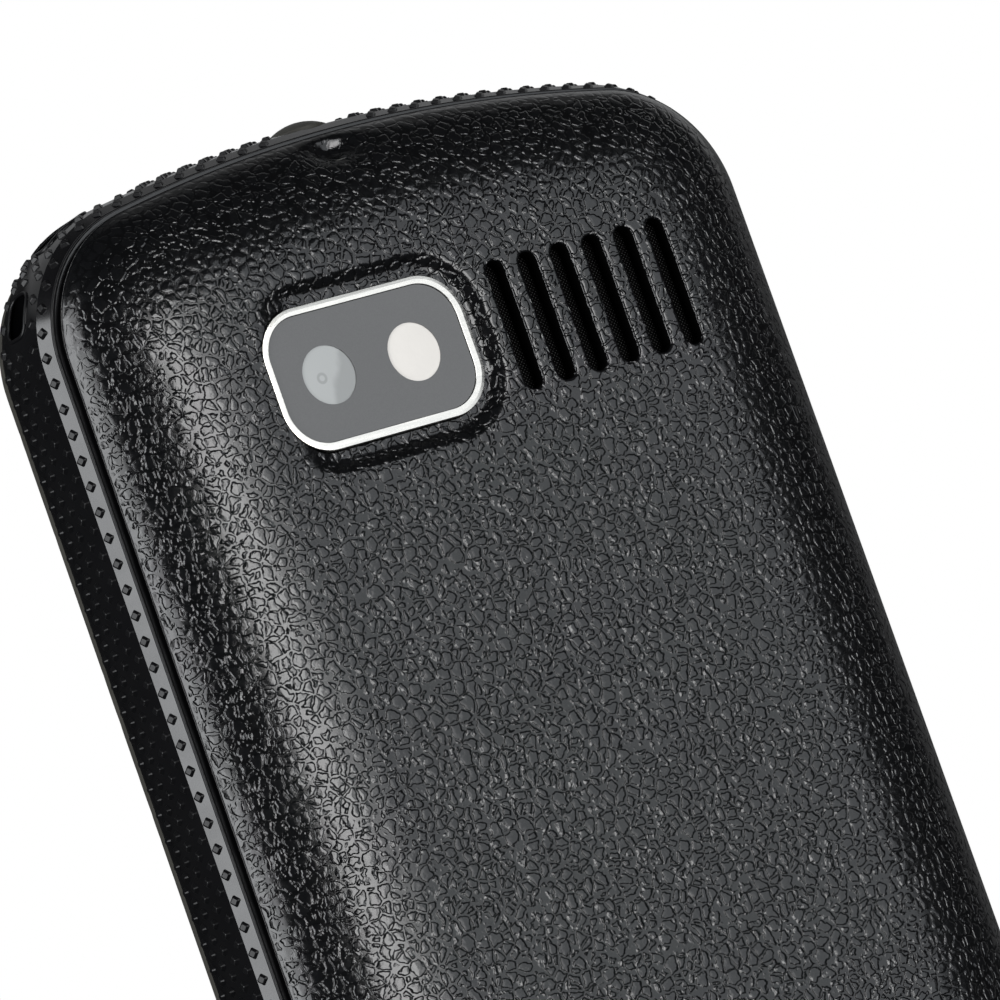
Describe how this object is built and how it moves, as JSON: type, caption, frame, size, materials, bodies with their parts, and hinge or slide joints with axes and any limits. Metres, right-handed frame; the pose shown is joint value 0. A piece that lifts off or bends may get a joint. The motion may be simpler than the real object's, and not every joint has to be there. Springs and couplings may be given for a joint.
{
  "type": "mobile phone",
  "caption": "Bar mobile phone with a lift-off grained back, camera and flash window, sound slots, lanyard eyelet, studded frame and a keypad front.",
  "frame": {"origin": "under the middle of the phone, in the plane of the front rim that it lies on", "axes": "+Z out of the back, +Y to the top edge, +X to the right seen from behind"},
  "size_m": [0.0574, 0.1246, 0.0134],
  "materials": {
    "cover": "moulded leather grain",
    "frame": "gloss black with raised studs",
    "face": "satin black",
    "window": "clear, black printed border",
    "display": "glass panel in a frame",
    "rubber": "soft matt",
    "board": "solder mask",
    "sheet_metal": "tinned sheet",
    "silver_rim": "satin silver",
    "camera_panel": "grey gloss panel",
    "lens": "clear",
    "flash": "frosted white",
    "battery_wrap": "shrink sleeve",
    "contacts": "gold plated",
    "inner_plastic": "moulded black",
    "mesh": "fine woven mesh",
    "keys": "satin black with pale digits",
    "screw_steel": "blackened",
    "motor_case": "drawn case",
    "weight_metal": "sintered"
  },
  "bodies": {
    "chassis": {"mid_frame": "frame", "front_housing": "face", "display_window": "window", "display_module": "display", "screen_gasket": "rubber", "main_board": "board", "shield_can_radio": "sheet_metal", "shield_can_processor": "sheet_metal", "housing_screws": "screw_steel", "keypad_mat": "rubber", "dome_sheet": "sheet_metal", "earpiece": "inner_plastic", "earpiece_mesh": "mesh", "microphone": "sheet_metal", "microphone_boot": "rubber", "loudspeaker": "inner_plastic", "speaker_gasket": "rubber", "camera_board": "board", "camera_module": "inner_plastic", "camera_lens": "lens", "flash_led": "contacts", "flash_diffuser": "flash", "camera_bezel": "silver_rim", "camera_window": "camera_panel", "battery": "battery_wrap", "battery_connector": "inner_plastic", "battery_contacts": "contacts", "sim_holders": "sheet_metal", "memory_card_holder": "sheet_metal", "usb_socket": "sheet_metal", "audio_jack": "inner_plastic", "top_switch": "inner_plastic", "vibration_motor": "motor_case", "antenna": "contacts"},
    "cover": {"rear_cover": "cover", "speaker_mesh": "mesh"},
    "nav_carrier": {"nav_carrier": "rubber"},
    "nav_ring": {"nav_ring": "keys"},
    "ok_key": {"ok_key": "keys"},
    "top_button": {"top_button": "frame"},
    "vibration_weight": {"vibration_weight": "weight_metal"},
    "key_1": {"key_1": "keys"},
    "key_2": {"key_2": "keys"},
    "key_3": {"key_3": "keys"},
    "key_4": {"key_4": "keys"},
    "key_5": {"key_5": "keys"},
    "key_6": {"key_6": "keys"},
    "key_7": {"key_7": "keys"},
    "key_8": {"key_8": "keys"},
    "key_9": {"key_9": "keys"},
    "key_star": {"key_star": "keys"},
    "key_0": {"key_0": "keys"},
    "key_hash": {"key_hash": "keys"},
    "soft_key_left": {"soft_key_left": "keys"},
    "soft_key_right": {"soft_key_right": "keys"},
    "call_key": {"call_key": "keys"},
    "end_key": {"end_key": "keys"}
  },
  "joints": [
    {"name": "cover_lift", "type": "slide", "parent": "chassis", "child": "cover", "axis": [0, 0, 1], "range_m": [0, 0.02]},
    {"name": "key_1_press", "type": "slide", "parent": "chassis", "child": "key_1", "axis": [0, 0, 1], "range_m": [0, 0.0003], "stiffness_N_per_m": 1500},
    {"name": "key_2_press", "type": "slide", "parent": "chassis", "child": "key_2", "axis": [0, 0, 1], "range_m": [0, 0.0003], "stiffness_N_per_m": 1500},
    {"name": "key_3_press", "type": "slide", "parent": "chassis", "child": "key_3", "axis": [0, 0, 1], "range_m": [0, 0.0003], "stiffness_N_per_m": 1500},
    {"name": "key_4_press", "type": "slide", "parent": "chassis", "child": "key_4", "axis": [0, 0, 1], "range_m": [0, 0.0003], "stiffness_N_per_m": 1500},
    {"name": "key_5_press", "type": "slide", "parent": "chassis", "child": "key_5", "axis": [0, 0, 1], "range_m": [0, 0.0003], "stiffness_N_per_m": 1500},
    {"name": "key_6_press", "type": "slide", "parent": "chassis", "child": "key_6", "axis": [0, 0, 1], "range_m": [0, 0.0003], "stiffness_N_per_m": 1500},
    {"name": "key_7_press", "type": "slide", "parent": "chassis", "child": "key_7", "axis": [0, 0, 1], "range_m": [0, 0.0003], "stiffness_N_per_m": 1500},
    {"name": "key_8_press", "type": "slide", "parent": "chassis", "child": "key_8", "axis": [0, 0, 1], "range_m": [0, 0.0003], "stiffness_N_per_m": 1500},
    {"name": "key_9_press", "type": "slide", "parent": "chassis", "child": "key_9", "axis": [0, 0, 1], "range_m": [0, 0.0003], "stiffness_N_per_m": 1500},
    {"name": "key_star_press", "type": "slide", "parent": "chassis", "child": "key_star", "axis": [0, 0, 1], "range_m": [0, 0.0003], "stiffness_N_per_m": 1500},
    {"name": "key_0_press", "type": "slide", "parent": "chassis", "child": "key_0", "axis": [0, 0, 1], "range_m": [0, 0.0003], "stiffness_N_per_m": 1500},
    {"name": "key_hash_press", "type": "slide", "parent": "chassis", "child": "key_hash", "axis": [0, 0, 1], "range_m": [0, 0.0003], "stiffness_N_per_m": 1500},
    {"name": "soft_key_left_press", "type": "slide", "parent": "chassis", "child": "soft_key_left", "axis": [0, 0, 1], "range_m": [0, 0.0003], "stiffness_N_per_m": 1500},
    {"name": "soft_key_right_press", "type": "slide", "parent": "chassis", "child": "soft_key_right", "axis": [0, 0, 1], "range_m": [0, 0.0003], "stiffness_N_per_m": 1500},
    {"name": "call_key_press", "type": "slide", "parent": "chassis", "child": "call_key", "axis": [0, 0, 1], "range_m": [0, 0.0003], "stiffness_N_per_m": 1500},
    {"name": "end_key_press", "type": "slide", "parent": "chassis", "child": "end_key", "axis": [0, 0, 1], "range_m": [0, 0.0003], "stiffness_N_per_m": 1500},
    {"name": "ok_key_press", "type": "slide", "parent": "chassis", "child": "ok_key", "axis": [0, 0, 1], "range_m": [0, 0.0003], "stiffness_N_per_m": 1500},
    {"name": "nav_left_right", "type": "hinge", "parent": "chassis", "child": "nav_carrier", "pos_m": [0, -0.0122, 0.002], "axis": [0, 1, 0], "range_deg": [-2.5, 2.5], "stiffness_Nm_per_rad": 0.1},
    {"name": "nav_up_down", "type": "hinge", "parent": "nav_carrier", "child": "nav_ring", "pos_m": [0, -0.0122, 0.002], "axis": [1, 0, 0], "range_deg": [-2.5, 2.5], "stiffness_Nm_per_rad": 0.1},
    {"name": "top_button_press", "type": "slide", "parent": "chassis", "child": "top_button", "axis": [0, -1, 0], "range_m": [0, 0.0005], "stiffness_N_per_m": 1500},
    {"name": "motor_spin", "type": "hinge", "parent": "chassis", "child": "vibration_weight", "pos_m": [0.0144, 0.0542, 0.0086], "axis": [1, 0, 0], "continuous": true}
  ]
}
